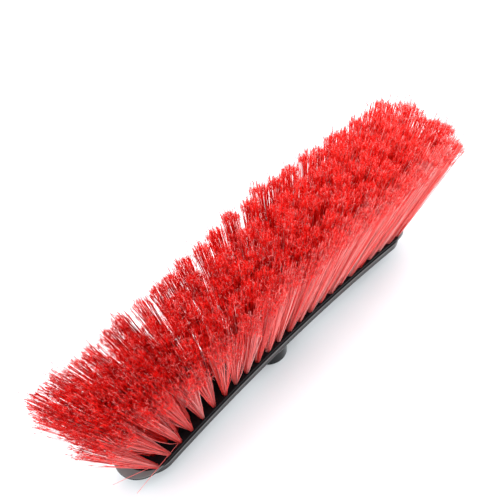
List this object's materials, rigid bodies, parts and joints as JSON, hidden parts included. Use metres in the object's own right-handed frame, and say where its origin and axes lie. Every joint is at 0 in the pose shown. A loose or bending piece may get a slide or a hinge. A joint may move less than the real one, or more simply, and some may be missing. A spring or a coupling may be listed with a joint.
{
  "type": "push broom head",
  "caption": "Arched push broom head with rows of flared bristle tufts on a long plastic block with a round handle socket.",
  "frame": {"origin": "centre of the handle socket's mouth, on the flat rim that the head stands on with its bristles up", "axes": "+X along the block, +Y across it, +Z from the socket's mouth towards the bristle tips"},
  "size_m": [0.4726, 0.1014, 0.1422],
  "materials": {
    "block_plastic": "satin",
    "bristle": "satin",
    "anchor_wire": "satin"
  },
  "bodies": {
    "root": {"anchor_row_1": "anchor_wire", "anchor_row_2": "anchor_wire", "anchor_row_3": "anchor_wire", "anchor_row_4": "anchor_wire", "anchor_row_5": "anchor_wire", "block": "block_plastic", "tuft_rank_01": "bristle", "tuft_rank_02": "bristle", "tuft_rank_03": "bristle", "tuft_rank_04": "bristle", "tuft_rank_05": "bristle", "tuft_rank_06": "bristle", "tuft_rank_07": "bristle", "tuft_rank_08": "bristle", "tuft_rank_09": "bristle", "tuft_rank_10": "bristle", "tuft_rank_11": "bristle", "tuft_rank_12": "bristle", "tuft_rank_13": "bristle", "tuft_rank_14": "bristle", "tuft_rank_15": "bristle", "tuft_rank_16": "bristle", "tuft_rank_17": "bristle", "tuft_rank_18": "bristle", "tuft_rank_19": "bristle", "tuft_rank_20": "bristle", "tuft_rank_21": "bristle", "tuft_rank_22": "bristle", "tuft_rank_23": "bristle", "tuft_rank_24": "bristle", "tuft_rank_25": "bristle", "tuft_rank_26": "bristle", "tuft_rank_27": "bristle", "tuft_rank_28": "bristle", "tuft_rank_29": "bristle", "tuft_rank_30": "bristle", "tuft_rank_31": "bristle", "tuft_rank_32": "bristle", "tuft_rank_33": "bristle", "tuft_rank_34": "bristle", "tuft_rank_35": "bristle", "tuft_rank_36": "bristle", "tuft_rank_37": "bristle", "tuft_rank_38": "bristle", "tuft_rank_39": "bristle", "tuft_rank_40": "bristle", "tuft_rank_41": "bristle", "tuft_rank_42": "bristle", "tuft_rank_43": "bristle", "tuft_rank_44": "bristle", "tuft_rank_45": "bristle", "tuft_rank_46": "bristle", "tuft_rank_47": "bristle", "tuft_rank_48": "bristle", "tuft_rank_49": "bristle"}
  },
  "joints": []
}
